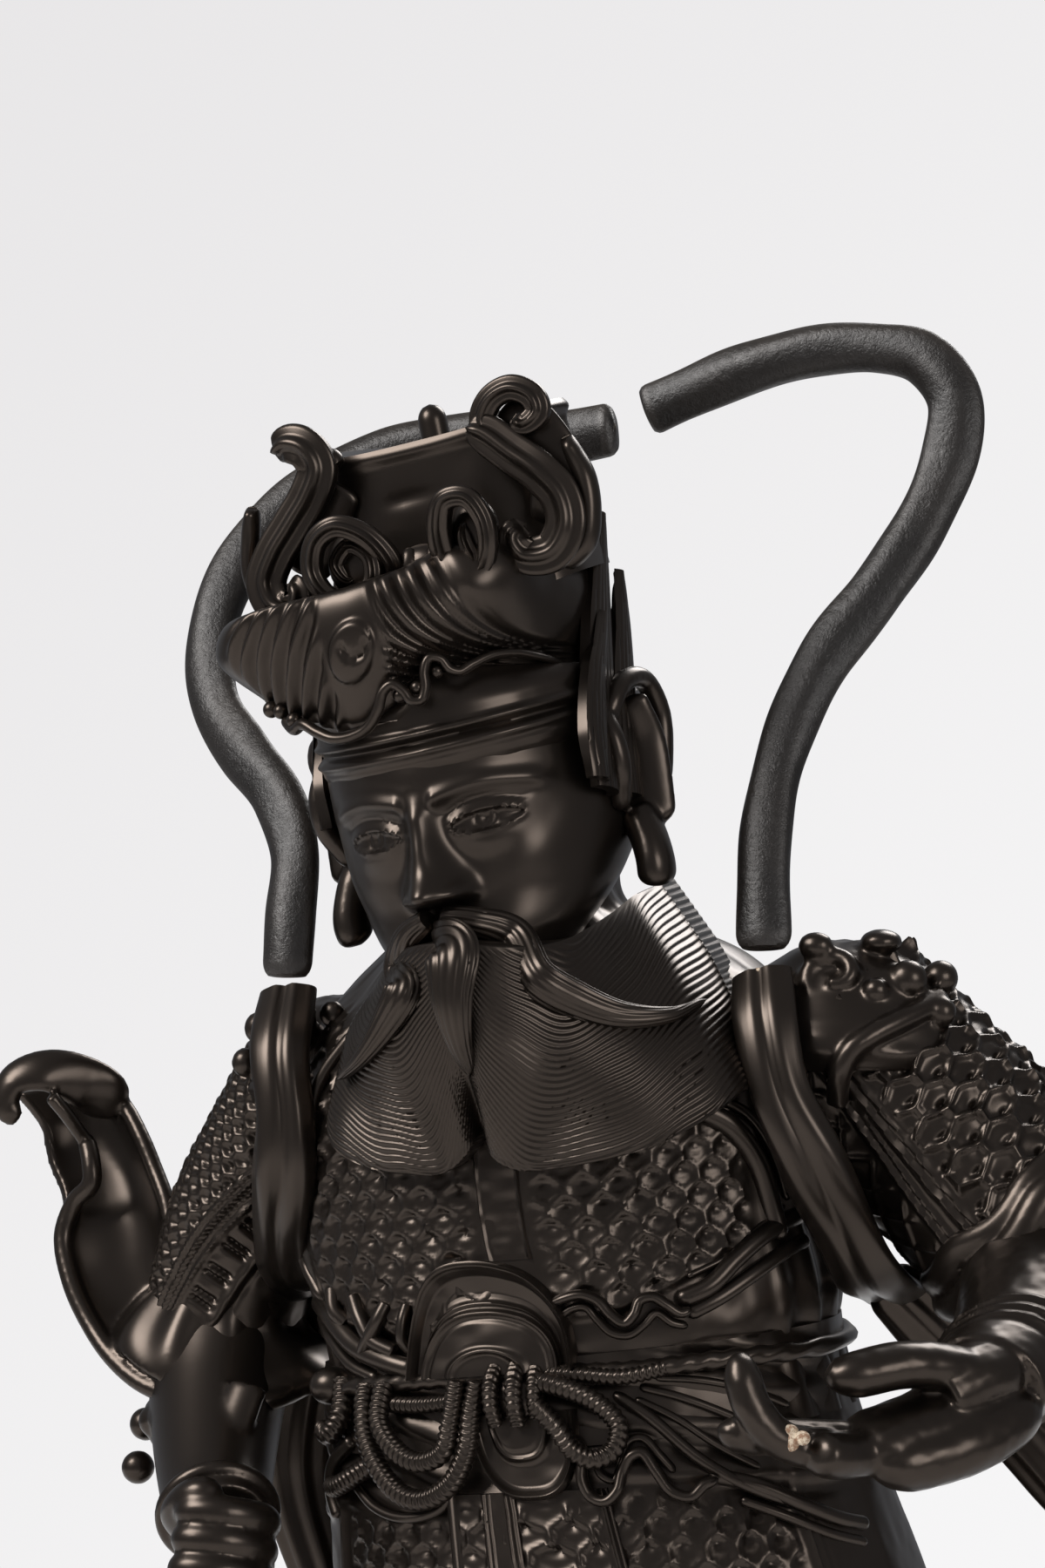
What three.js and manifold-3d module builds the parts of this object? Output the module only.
// A bearded warrior cast in bronze, standing in scale armour on a low plinth, with a long scarf that loops
// up behind the head. Millimetres, +Z up, the figure looks along -Y, its left is +X, and the origin is the
// middle of the plinth's underside.
import * as THREE from "three";
import { mergeVertices } from "three/addons/utils/BufferGeometryUtils.js";
import Module from "manifold-3d";

const wasm = await Module();
wasm.setup();

// Driving dimensions
const PLINTH = { width: 208, depth: 164, height: 35, waist: 0.9 };
const GAP = 0.3; // between a piece and the one that it touches
const SOLE = PLINTH.height + GAP;
const BOOT = { length: 88, width: 38, height: 34 };
const FEET = [
  { at: [-38, -8], turn: -16 },
  { at: [72, -14], turn: 20 },
];
const KNEE = 150; // height at which the trousers go up under the robe
const ROBE = { hem: 92, top: 205, folds: 9, foldDepth: 4.5 };
const SKIRT_HEM = 156;
const ROPE = 3.3; // half thickness of the rope belt
const SCARF = { halfWidth: 7.8, halfDepth: 4.2 };
const HEAD = { at: [-21, -18, 495], yaw: -6, roll: -11, pitch: 9 };
const CAP = { shift: -8, halfWidth: 43, halfDepth: 51 };
const CROWN = { shift: 1, halfWidth: 40, halfDepth: 28, foot: 48, top: 92 };

// The armoured body: level, middle x and y, half width, half depth, and slope in degrees across it
const BODY = [
  [SKIRT_HEM, 21, 2, 91, 75, 0],
  [200, 21, 1, 89, 73, 0],
  [240, 19, 0, 86, 70, 1.5],
  [265, 16, -1, 83, 66, 3],
  [290, 10, -2, 78.5, 61, 5],
  [318, 4, -2, 75, 57, 6.5],
  [345, 2, -1, 74, 55, 6.5],
  [366, -4, 0, 75, 54, 6.5],
  [390, -7, 0, 75, 54, 7],
  [412, -9, 1, 73, 51, 8],
  [427, -12, 4, 66, 45, 8],
  [439, -15, 7, 51, 38, 8],
  [448, -18, 8, 35, 33, 5],
  [478, -20, -2, 30, 34, 0],
];
const BODY_ROWS = [
  SKIRT_HEM, 166, 200, 236, 266, 290, 310, 330, 337, 342, 347, 368, 390, 408, 422, 433, 444, 478,
];

// The bare skull in the head's own frame: level, middle y, half width, half depth
const SKULL = [
  [-59, -35, 8, 8],
  [-55, -31, 18, 17],
  [-45, -21, 30, 30],
  [-30, -8, 39, 42],
  [-12, -1, 43, 50],
  [6, 0, 43, 51],
  [24, 1, 41, 49],
  [42, 3, 34, 42],
  [54, 4, 20, 26],
];

const degrees = THREE.MathUtils.degToRad;
const lerp = THREE.MathUtils.lerp;
const smooth = THREE.MathUtils.smoothstep;
const vector = (p) => new THREE.Vector3(p[0], p[1], p[2]);
const bump = (x, width) => Math.exp(-((x / width) ** 2));
const rounded = (s, power) => (Math.abs(s) < 1e-9 ? 0 : Math.sign(s) * Math.abs(s) ** power);
const dome = (t, start, end) =>
  Math.sqrt(Math.max(0, 1 - Math.max(0, 1 - t / start) ** 2)) *
  Math.sqrt(Math.max(0, 1 - Math.max(0, 1 - (1 - t) / end) ** 2));

// Reads a table of stations smoothly at any level between them.
function stations(rows) {
  const size = rows[0].length - 1;
  const reader = new THREE.CubicInterpolant(
    rows.map((row) => row[0]),
    rows.flatMap((row) => row.slice(1)),
    size,
    new Float32Array(size),
  );
  return (level) => [...reader.evaluate(level)];
}

// Moves each vertex of a geometry by a function and gives the closed solid.
function formed(geometry, place) {
  const spot = geometry.getAttribute("position");
  for (let i = 0; i < spot.count; i++) {
    const p = place(spot.getX(i), spot.getY(i), spot.getZ(i));
    spot.setXYZ(i, p.x, p.y, p.z);
  }
  const bare = mergeVertices(geometry.deleteAttribute("normal").deleteAttribute("uv"), 1e-4);
  const vertProperties = new Float32Array(bare.getAttribute("position").array);
  const triVerts = new Uint32Array(bare.index.array);
  const made = new wasm.Manifold(new wasm.Mesh({ numProp: 3, vertProperties, triVerts }));
  if (made.volume() > 0) return made;
  triVerts.reverse();
  return new wasm.Manifold(new wasm.Mesh({ numProp: 3, vertProperties, triVerts }));
}

// A drum: its skin and the middles of its ends are placed by level 0..1, angle and reach 0..1.
const drum = (sides, rows, place) =>
  formed(new THREE.CylinderGeometry(1, 1, 1, sides, rows), (x, y, z) =>
    place(y + 0.5, Math.atan2(x, z), Math.hypot(x, z)),
  );

// A slab: placed by u and v over its face, both 0..1, and w through it, 0 behind and 1 in front.
const slab = (across, along, place) =>
  formed(new THREE.BoxGeometry(1, 1, 1, across, along, 1), (x, y, z) => place(x + 0.5, y + 0.5, z + 0.5));

// A pebble: an ellipsoid of half sizes at a place, turned by angles in degrees.
function pebble(at, half, turn = [0, 0, 0], sides = 7, rows = 4) {
  const turned = new THREE.Matrix4().makeRotationFromEuler(new THREE.Euler(...turn.map(degrees)));
  return formed(new THREE.SphereGeometry(1, sides, rows), (x, y, z) =>
    new THREE.Vector3(x * half[0], y * half[1], z * half[2]).applyMatrix4(turned).add(vector(at)),
  );
}

// A bar along a smooth curve. size gives its half width and half depth at t, front is where its depth looks.
function bar(points, size, { sides = 8, rows = 10, front = [0, -1, 0], closed = false } = {}) {
  const path = new THREE.CatmullRomCurve3(points.map(vector), closed, "centripetal");
  return drum(sides, rows, (t, angle, reach) => {
    const along = path.getTangentAt(t);
    const side = new THREE.Vector3().crossVectors(along, vector(front)).normalize();
    const out = new THREE.Vector3().crossVectors(side, along).normalize();
    const [wide, deep] = size(t);
    return path
      .getPointAt(t)
      .addScaledVector(side, wide * reach * Math.sin(angle))
      .addScaledVector(out, deep * reach * Math.cos(angle));
  });
}

// A bar bent into a ring.
function ring(place, half, steps, sides) {
  return formed(new THREE.TorusGeometry(2, 1, sides, steps), (x, y, z) => {
    const turn = Math.atan2(y, x);
    const over = Math.hypot(x, y) - 2;
    return place(turn, half * over, half * z);
  });
}

const joined = (solids) => solids.reduce((whole, next) => whole.add(next));

// The largest outward body of a solid, so that a pocket sealed between joined forms is filled.
function largest(whole) {
  return whole.decompose().reduce((best, next) => (next.volume() > best.volume() ? next : best));
}

const bodyAt = stations(BODY);

// A point on the armoured body: angle 0 is in front, and lift stands it off the surface.
function onBody(level, angle, lift = 0, reach = 1) {
  const [x, y, halfX, halfY, slope] = bodyAt(level);
  const across = (halfX + lift) * reach * rounded(Math.sin(angle), 0.9);
  return new THREE.Vector3(
    x + across,
    y - (halfY + lift) * reach * rounded(Math.cos(angle), 0.9),
    level + across * Math.tan(degrees(slope)),
  );
}

// Torso and armoured skirt in one, with the side slits and the sagging hem of the skirt
function makeBody() {
  return drum(26, BODY_ROWS.length - 1, (t, angle, reach) => {
    const level = BODY_ROWS[Math.round(t * (BODY_ROWS.length - 1))];
    const low = smooth(300 - level, 0, 110);
    const slit = 6 * low * (bump(Math.abs(angle) - 0.42, 0.09) + bump(Math.abs(angle) - 2.0, 0.12));
    const waist = 2.5 * bump(level - 341, 3) - 1.5 * bump(level - 330, 6);
    const p = onBody(level, angle, waist - slit, reach);
    p.z -= (1 - smooth(level, SKIRT_HEM, 240)) * 12 * Math.sin(2 * angle) ** 2 * reach;
    return p;
  });
}

// The cloth robe under the skirt, falling in folds to the shins and lower behind
function makeRobe() {
  return drum(ROBE.folds * 4, 3, (t, angle, reach) => {
    const back = (1 - Math.cos(angle)) / 2;
    const level = lerp(ROBE.hem - 30 * back * back, ROBE.top, t);
    const fold = ROBE.foldDepth * (1 - t) * Math.cos(ROBE.folds * angle + 2 * t);
    const part = 10 * (1 - t) * bump(angle, 0.16);
    const halfX = lerp(80, 74, t) + fold - part;
    const halfY = lerp(64, 60, t) + fold - part;
    return new THREE.Vector3(20 + halfX * reach * Math.sin(angle), 4 - halfY * reach * Math.cos(angle), level);
  });
}

// One leg: a full trouser gathered into a court boot with a turned-up toe
function makeLeg({ at, turn }) {
  const spin = new THREE.Matrix4().makeRotationZ(degrees(turn));
  const seat = new THREE.Vector3(at[0], at[1], 0);
  const boot = drum(8, 3, (t, angle, reach) => {
    const along = Math.cos(angle) * reach;
    const toe = Math.max(0, along);
    const top = 1 - smooth(toe, 0.1, 0.85) * 0.62 + 0.25 * smooth(toe, 0.8, 1);
    const side = BOOT.width / 2 * (1 - 0.12 * t) * (1 - 0.25 * bump(along + 0.1, 0.35) * (1 - t));
    const p = new THREE.Vector3(
      side * reach * rounded(Math.sin(angle), 0.75),
      14 - (BOOT.length / 2) * rounded(along, 0.85) * (1 - 0.06 * t),
      SOLE + t * BOOT.height * top,
    );
    return p.applyMatrix4(spin).add(seat);
  });
  const trouser = drum(10, 3, (t, angle, reach) => {
    const fullness = lerp(17, 33, smooth(t, 0, 0.5)) + 1.6 * Math.cos(9 * angle) * (1 - t);
    const shin = new THREE.Vector3(
      fullness * reach * Math.sin(angle),
      22 - fullness * 1.05 * reach * Math.cos(angle),
      lerp(SOLE + 18, KNEE, t),
    );
    return shin.applyMatrix4(spin).add(seat).lerp(new THREE.Vector3(20, 8, KNEE), 0.12 * t);
  });
  return boot.add(trouser);
}

// Neck guard, belly plate, apron and the strap and borders of the breast armour
function makeArmourTrim() {
  const plate = (level, halfWidth, height, thick, up) =>
    slab(6, 2, (u, v, w) => {
      const x = 2 * u - 1;
      const arch = Math.sqrt(Math.max(0, 1 - x * x * 0.94));
      return onBody(level + up * v * height * arch, (x * halfWidth) / 66 - 0.06, lerp(-6, thick, w) - 2 * v * w);
    });
  const apron = slab(2, 4, (u, v, w) => {
    const x = 2 * u - 1;
    const level = lerp(296, 122, v) - 9 * v * (1 - x * x);
    const halfWidth = lerp(0.26, 0.36, v);
    const p = onBody(Math.max(level, SKIRT_HEM), x * halfWidth, lerp(-5, 4.5 - x * x * 1.5, w));
    p.z += Math.min(0, level - SKIRT_HEM);
    return p;
  });
  const strap = slab(1, 2, (u, v, w) => onBody(lerp(392, 352, v), lerp(-0.085, 0.085, u), lerp(-4, 3, w)));
  return joined([plate(325, 20, 29, 7, 1), plate(324, 12, 17, 10, 1), plate(302, 20, 24, 5, -1), apron, strap]);
}

// The twisted rope belt, its knot and the loops that hang from it
function makeRope() {
  const belt = ring((turn, over, up) => onBody(317 + up, turn, ROPE * 0.55 + over), ROPE, 24, 4);
  const hang = (points) =>
    bar(
      points.map(([level, angle, lift]) => onBody(level, angle, lift).toArray()),
      () => [ROPE, ROPE],
      { sides: 4, rows: 7 },
    );
  return joined([
    belt,
    hang([[316, -0.84, 3], [296, -0.76, 5], [281, -0.46, 6], [276, -0.3, 6], [288, -0.13, 6], [315, -0.06, 5]]),
    hang([[316, -0.7, 4], [300, -0.58, 6], [292, -0.42, 7], [298, -0.26, 6], [316, -0.2, 5]]),
    hang([[316, 0.1, 5], [312, 0.34, 6], [300, 0.5, 5], [292, 0.42, 6], [300, 0.26, 6], [310, 0.08, 5]]),
    pebble(onBody(315, 0.0, 5).toArray(), [8, 6, 7]),
    pebble(onBody(313, -1.2, 2).toArray(), [7, 7, 8]),
    pebble(onBody(294, -1.25, 3).toArray(), [7, 7, 7]),
    pebble(onBody(262, 1.45, 4).toArray(), [7, 6, 6]),
  ]);
}

// One ribbon of the scarf where it lies on the chest, from its stub on the shoulder under the arm to the back,
// and then as a tail that falls beside the skirt
function makeRibbon(points, tail) {
  const chest = bar(points, (t) => [lerp(8, 11, t), lerp(5, 6, t)], { sides: 5, rows: 5 });
  const hanging = bar(tail, (t) => [lerp(9, 13, t) + 2 * Math.sin(9 * t), 4.2], {
    sides: 5,
    rows: 9,
    front: [0.25, -1, 0],
  });
  return chest.add(hanging);
}

// A short upper sleeve of scale armour: shoulder guard, arm, the rolled cuff at the elbow and its flying tip
function makeSleeve({ arm, width, guard, guardHalf, tip }) {
  const upper = bar(arm, (t) => [width * (1 + 0.06 * Math.sin(3 * t)), width * 0.96], { sides: 10, rows: 2 });
  const elbow = arm[arm.length - 1];
  const down = vector(elbow).sub(vector(arm[0])).normalize();
  const side = new THREE.Vector3().crossVectors(down, new THREE.Vector3(0, 1, 0)).normalize();
  const fore = new THREE.Vector3().crossVectors(side, down);
  const cuff = ring(
    (turn, over, up) =>
      vector(elbow)
        .addScaledVector(down, up - 3)
        .addScaledVector(side, (width + 4 + over) * Math.cos(turn))
        .addScaledVector(fore, (width + 3 + over) * Math.sin(turn)),
    5,
    11,
    4,
  );
  const leaf = slab(2, 6, (u, v, w) => {
    const path = new THREE.CatmullRomCurve3(tip.map(vector), false, "centripetal");
    const along = path.getTangentAt(v);
    const out = new THREE.Vector3().crossVectors(along, new THREE.Vector3(0, -1, 0)).normalize();
    const x = 2 * u - 1;
    const halfWidth = lerp(17, 14, v) * dome(v, 0.1, 0.45) + 2;
    return path
      .getPointAt(v)
      .addScaledVector(out, x * halfWidth)
      .add(new THREE.Vector3(0, lerp(3.4, -3.4, w) - 9 * x * x * (1 - 0.4 * v), 0));
  });
  const shoulder = drum(10, 4, (t, angle, reach) => {
    const spread = [0.99, 1.08, 0.98, 0.72, 0.3][Math.round(t * 4)] * reach;
    const rise = [-0.6, -0.35, -0.15, 0.6, 1][Math.round(t * 4)];
    return vector([
      guard[0] + guardHalf[0] * spread * Math.sin(angle),
      guard[1] - guardHalf[1] * spread * Math.cos(angle),
      guard[2] + guardHalf[2] * rise,
    ]);
  });
  return joined([upper, cuff, leaf, shoulder]);
}

// The right forearm hangs forward to a closed fist.
function makeRightArm() {
  const sleeve = makeSleeve({
    arm: [[-76, 5, 410], [-90, 8, 386], [-105, 11, 358], [-114, 12, 326]],
    width: 23,
    guard: [-72, 4, 408],
    guardHalf: [27, 30, 20],
    tip: [[-96, -6, 314], [-125, -2, 325], [-142, 9, 342], [-151, 22, 366], [-161, 25, 387], [-178, 23, 402]],
  });
  const forearm = bar([[-113, 14, 328], [-108, -6, 308], [-97, -34, 288], [-89, -52, 279]], (t) => {
    const around = lerp(24, 17, t);
    return [around, around];
  }, { sides: 9, rows: 3 });
  const fist = drum(8, 6, (t, angle, reach) => {
    const round = Math.sin(Math.PI * lerp(0.12, 0.88, t));
    const knuckle = 1.8 * Math.cos(8 * Math.PI * t) * bump(angle, 1);
    const p = vector([
      15 * round * reach * Math.sin(angle),
      -(16 * round + knuckle) * reach * Math.cos(angle),
      lerp(-17, 15, t),
    ]);
    return p.applyEuler(new THREE.Euler(degrees(-18), 0, degrees(12))).add(vector([-85, -63, 273]));
  });
  const thumb = bar([[-95, -56, 282], [-90, -66, 289], [-79, -74, 287]], () => [5.2, 4.6], { sides: 6, rows: 3 });
  return joined([sleeve, forearm, fist, thumb]);
}

// The left forearm comes forward, with the palm up, a finger lost and another raised.
function makeLeftArm() {
  const sleeve = makeSleeve({
    arm: [[74, 4, 424], [106, 6, 392], [137, 3, 363]],
    width: 30,
    guard: [80, 2, 424],
    guardHalf: [34, 33, 22],
    tip: [[108, -8, 346], [146, 4, 340], [172, 16, 362], [170, 26, 392], [141, 28, 414]],
  });
  const forearm = bar([[137, 12, 364], [140, -22, 350], [140, -56, 338], [136, -76, 332]], (t) => {
    const around = lerp(27, 16, t);
    return [around, around];
  }, { sides: 9, rows: 3, front: [0, 0, 1] });
  const finger = (points, half) => bar(points, (t) => [half * dome(t + 0.02, 0.05, 0.2), half], { rows: 3, sides: 5 });
  return joined([
    sleeve,
    forearm,
    pebble([132, -84, 330], [16, 16, 14], [0, 0, 30]),
    pebble([115, -103, 322], [28, 20, 13], [8, 6, 34], 8, 5),
    finger([[136, -84, 336], [122, -98, 340], [108, -107, 338], [99, -112, 337]], 6.2),
    finger([[104, -116, 321], [90, -126, 327], [85, -127, 337], [84, -124, 347]], 5.2),
    finger([[112, -102, 320], [92, -118, 320], [80, -130, 325], [77, -134, 332]], 5.2),
    finger([[110, -112, 321], [103, -124, 322], [100, -129, 324]], 6.4),
  ]);
}

const headFrame = new THREE.Matrix4()
  .makeTranslation(...HEAD.at)
  .multiply(new THREE.Matrix4().makeRotationZ(degrees(HEAD.yaw)))
  .multiply(new THREE.Matrix4().makeRotationY(degrees(HEAD.roll)))
  .multiply(new THREE.Matrix4().makeRotationX(degrees(HEAD.pitch)));
const inHead = (x, y, z) => new THREE.Vector3(x, y, z).applyMatrix4(headFrame);
const skullAt = stations(SKULL);

// A point on the head at an angle from the front.
function onSkull(level, angle, lift = 0, reach = 1) {
  const [y, halfX, halfY] = skullAt(level);
  return [(halfX + lift) * reach * Math.sin(angle), y - (halfY + lift) * reach * Math.cos(angle), level];
}

// Skull and face, on plain even proportions
function makeHead() {
  const skull = drum(18, 9, (t, angle, reach) => {
    const level = lerp(-59, 54, t);
    const socket = 4.5 * bump(Math.abs(angle) - 0.4, 0.2) * bump(level + 11, 6);
    const brow = 2 * bump(Math.abs(angle) - 0.38, 0.26) * bump(level + 2, 4);
    const cheek = 2.5 * bump(Math.abs(angle) - 0.62, 0.25) * bump(level + 24, 9);
    return inHead(...onSkull(level, angle, brow + cheek - socket, reach));
  });
  const nose = drum(7, 3, (t, angle, reach) => {
    const half = lerp(9, 4, smooth(t, 0, 0.6)) * reach;
    const out = lerp(13, 5, smooth(t, 0.05, 0.9)) * reach;
    return inHead(half * Math.sin(angle), -46 - out * Math.cos(angle), lerp(-31, -3, t));
  });
  const eyes = [-1, 1].map((s) => {
    const at = inHead(...onSkull(-11, s * 0.4, -4.5)).toArray();
    return pebble(at, [8, 4, 4.5], [0, -HEAD.roll, 18 * s], 8, 4);
  });
  const lip = bar([-13, -5, 0, 5, 13].map((x) => inHead(x, -47 + (x * x) / 40, -41).toArray()), () => [2.6, 3], {
    rows: 4,
    sides: 6,
  });
  const ears = [-1, 1].map((s) =>
    slab(2, 6, (u, v, w) => {
      const tall = lerp(14, -42, v);
      const wide = 8 * dome(v, 0.3, 0.25) * (1 - 0.4 * bump(v - 0.6, 0.16)) + 1.5;
      const rim = 2.5 * Math.abs(2 * u - 1);
      return inHead(s * (lerp(36, 45, w) + rim * w + 3 * u), 5 + (2 * u - 1) * wide, tall);
    }),
  );
  return joined([skull, nose, ...eyes, lip, ...ears]);
}

// Soft cap: head band, folded kerchief with two corners, and the raised crown behind with its flames and bows
function makeCap() {
  const levels = [5, 14, 18, 31, 38, 46, 55, 64];
  const swells = [6, 7, 4, 5, 8, 7, 2, -20];
  const shell = drum(22, levels.length - 1, (t, angle, reach) => {
    const row = Math.round(t * (levels.length - 1));
    const [level, swell] = [levels[row], swells[row]];
    const corner = 9 * bump(Math.abs(angle) - 0.75, 0.22) * bump(level - 48, 10);
    const pleat = 1.6 * Math.cos(12 * angle) * bump(level - 46, 10);
    const out = swell + corner + pleat - 4;
    const shift = lerp(CROWN.shift, CAP.shift, smooth(level, 20, 46));
    return inHead(
      shift + (CAP.halfWidth + out) * reach * Math.sin(angle),
      1 - (CAP.halfDepth + out) * reach * Math.cos(angle),
      level,
    );
  });
  const crown = drum(12, 2, (t, angle, reach) => {
    const level = lerp(CROWN.foot, CROWN.top, t);
    const rim = 1.5 * bump(t - 1, 0.2) - 3 * smooth(t, 0, 1);
    return inHead(
      CROWN.shift + (CROWN.halfWidth + rim) * reach * rounded(Math.sin(angle), 0.6),
      8 - (CROWN.halfDepth + rim) * reach * rounded(Math.cos(angle), 0.6),
      level + 3 * Math.sin(angle) ** 2,
    );
  });
  const flames = [-1, 1].map((s) => {
    const points = [[27, -26, 44], [36, -32, 60], [39, -25, 75], [34, -20, 84], [41, -15, 93], [38, -15, 101]];
    const main = points.map(([x, y, z]) => inHead(CROWN.shift + s * x, y, z).toArray());
    const hook = [[40, -20, 78], [48, -18, 82], [51, -14, 89]];
    const barb = hook.map(([x, y, z]) => inHead(CROWN.shift + s * x, y, z).toArray());
    return bar(main, (t) => [lerp(8, 5, t) * dome(t, 0.1, 0.2) + 1, 5], { rows: 6, sides: 5 }).add(
      bar(barb, (t) => [lerp(6, 1.5, t), lerp(4, 2, t)], { rows: 2, sides: 4 }),
    );
  });
  const bows = [-1, 1].map((s) => {
    const middle = [CROWN.shift + s * 17, -32, 70];
    return ring(
      (turn, over, up) =>
        inHead(middle[0] + (7.5 + over) * Math.cos(turn), middle[1] - up, middle[2] + (9 + over) * Math.sin(turn)),
      4,
      8,
      4,
    );
  });
  const knob = pebble(inHead(CROWN.shift, -24, 66).toArray(), [6, 6, 6]);
  const peg = bar([inHead(0, 26, 80).toArray(), inHead(2, 26, 98).toArray()], () => [4, 4], { rows: 1, sides: 6 });
  return joined([shell, crown, ...flames, ...bows, knob, peg]);
}

// Side locks that sweep up behind the temples in flame points
function makeSideLocks() {
  return joined(
    [-1, 1].map((s) =>
      slab(2, 6, (u, v, w) => {
        const tall = lerp(-16, 60, v);
        const wide = 12 * (1 - v) ** 0.7 * dome(v + 0.05, 0.2, 0.05) + 1.2;
        const flick = 3 * Math.sin(9 * v);
        return inHead(s * (lerp(34, 45, w) + 6 * v), lerp(-6, 8, v) + (2 * u - 1) * wide + flick, tall);
      }),
    ),
  );
}

// A point on the beard: side runs from -1 at its right edge to 1, v from the jaw down to the hem.
function onBeard(side, v, lift = 0) {
  const swing = Math.sin((side * Math.PI) / 2);
  const jaw = new THREE.Vector3(-20 + 39 * swing, -64 + 38 * swing * swing, 446 + 22 * Math.abs(side) ** 1.5);
  const cleft = 7 * bump(side + 0.05, 0.09);
  const hem = new THREE.Vector3(
    -4 + 63 * swing,
    -66 + 24 * swing * swing,
    382 + 22 * Math.abs(side) ** 4 + cleft + 3 * side,
  );
  const p = jaw.lerp(hem, v);
  p.y -= 9 * Math.sin(Math.PI * Math.min(1, v * 1.05)) - cleft * v * 0.5 + lift;
  return p;
}

// The beard spreads over the chest in two lobes of long wavy locks, with a tuft under the lip and a moustache
function makeBeard() {
  const sheet = slab(18, 3, (u, v, w) => {
    const side = 2 * u - 1;
    const lock = 1.3 * Math.cos(22 * side + 5 * v);
    return onBeard(side, v, lerp(-16, lock, w));
  });
  const lip = inHead(0, -50, -47);
  const tuft = bar(
    [lip, onBeard(-0.02, 0.15, 4), onBeard(0, 0.38, 3), onBeard(0, 0.6, 1)].map((p) => p.toArray()),
    (t) => [lerp(9, 2, t), lerp(5, 3, t)],
    { rows: 3, sides: 6 },
  );
  const sweeps = [-1, 1].map((s) => {
    const root = [inHead(s * 2, -55, -34), inHead(s * 14, -51, -40)];
    const rest = [onBeard(s * 0.4, 0.2, 2), onBeard(s * 0.52, 0.42, 1), onBeard(s * 0.66, 0.55, 0)];
    return bar([...root, ...rest].map((p) => p.toArray()), (t) => [lerp(5, 2, t), lerp(4.5, 2.5, t)], {
      rows: 5,
      sides: 5,
    });
  });
  return joined([sheet, tuft, ...sweeps]);
}

// Where the scarf's two arms meet the stubs on the shoulders, and where the lapped break is
const JOINT = { left: [62.5, -24, 444.5], right: [-79.8, -22, 434.8] };
const LAP = [7, 37, 598];
const LEFT_ARM = [
  JOINT.left, [60.5, -14, 478], [63.7, -5, 502], [72.5, 3, 524.5], [86, 10, 544], [97.7, 17, 564], [105, 22, 584],
  [105.5, 25, 600], [96, 28, 612], [82, 30, 615.5], [64, 32, 615.5], [42.6, 34, 611], [23.6, 36, 604.5],
  [LAP[0] + 2, LAP[1], LAP[2] + 1],
];
const RIGHT_ARM = [
  JOINT.right, [-80.3, -18, 452], [-81.5, -12, 470], [-89.6, -5, 486], [-103, 3, 499], [-115, 11, 513],
  [-120, 18, 528], [-119.5, 25, 545], [-113, 33, 562], [-98, 42, 579], [-74, 47, 590], [-44, 47, 594],
  [-16, 42, 593], [LAP[0] - 5, LAP[1] + 1, LAP[2] - 3],
];
const bandSize = (t) => [SCARF.halfWidth * (1 - 0.06 * Math.sin(7 * t)), SCARF.halfDepth];
const band = (points, rows) => bar(points, bandSize, { sides: 8, rows });

function makeStub(joint, below) {
  const top = vector(joint).add(new THREE.Vector3(0, 1, -SCARF.halfWidth));
  return bar([below, [joint[0], joint[1] + 1, joint[2] - 14], top.toArray()], () => [8.6, 5.6], {
    rows: 2,
  });
}

// A low plinth with a foot, a drawn-in waist and a top slab
function makePlinth() {
  const levels = [0, 5, 9, 12, 23, 26, 31, PLINTH.height];
  const draws = [1, 1, 0.97, PLINTH.waist, PLINTH.waist, 0.96, 0.98, 0.975];
  return drum(16, levels.length - 1, (t, angle, reach) => {
    const row = Math.round(t * (levels.length - 1));
    const x = (PLINTH.width / 2) * draws[row] * reach * rounded(Math.sin(angle), 0.3);
    const y = -(PLINTH.depth / 2) * draws[row] * reach * rounded(Math.cos(angle), 0.3);
    return new THREE.Vector3(x, y, levels[row]);
  });
}

function makeFigure() {
  const whole = joined([
    makeBody(),
    makeRobe(),
    ...FEET.map(makeLeg),
    makeArmourTrim(),
    makeRope(),
    makeRightArm(),
    makeLeftArm(),
    makeHead(),
    makeCap(),
    makeSideLocks(),
    makeBeard(),
    makeRibbon(
      [[63, -30, 436], [68, -48, 418], [76, -48, 392], [84, -36, 366], [90, -14, 350], [92, 14, 346]],
      [[90, 8, 350], [108, 26, 326], [134, 28, 298], [158, 24, 268], [158, 26, 228], [132, 28, 184], [112, 26, 140], [104, 24, 108]],
    ),
    makeRibbon(
      [[-78, -26, 428], [-74, -42, 410], [-72, -46, 386], [-76, -36, 364], [-82, -14, 348], [-82, 14, 344]],
      [[-82, 8, 348], [-92, 30, 322], [-98, 32, 284], [-88, 32, 250], [-74, 34, 214], [-74, 32, 172], [-68, 28, 132], [-60, 26, 104]],
    ),
    makeStub(JOINT.left, [64, -14, 424]),
    makeStub(JOINT.right, [-78, -12, 414]),
  ]);
  return largest(whole);
}

const bronze = { metalness: 0.85, roughness: 0.42 };
const group = new THREE.Group();

// Adds a solid to the group as a named mesh.
function addPiece(name, solid, color) {
  const made = solid.getMesh();
  const geometry = new THREE.BufferGeometry();
  geometry.setAttribute("position", new THREE.BufferAttribute(made.vertProperties, 3));
  geometry.setIndex(new THREE.BufferAttribute(made.triVerts, 1));
  geometry.computeVertexNormals();
  const mesh = new THREE.Mesh(geometry, new THREE.MeshStandardMaterial({ color, ...bronze }));
  mesh.name = name;
  group.add(mesh);
}

const figure = makeFigure();
addPiece("figure", figure, 0x3a2f28);
addPiece("scarf_left", largest(band(LEFT_ARM, 22).subtract(figure)), 0x33291f);
addPiece("scarf_right", largest(band(RIGHT_ARM, 22).subtract(figure)), 0x33291f);
addPiece("plinth", makePlinth(), 0x3a3029);

export default group;
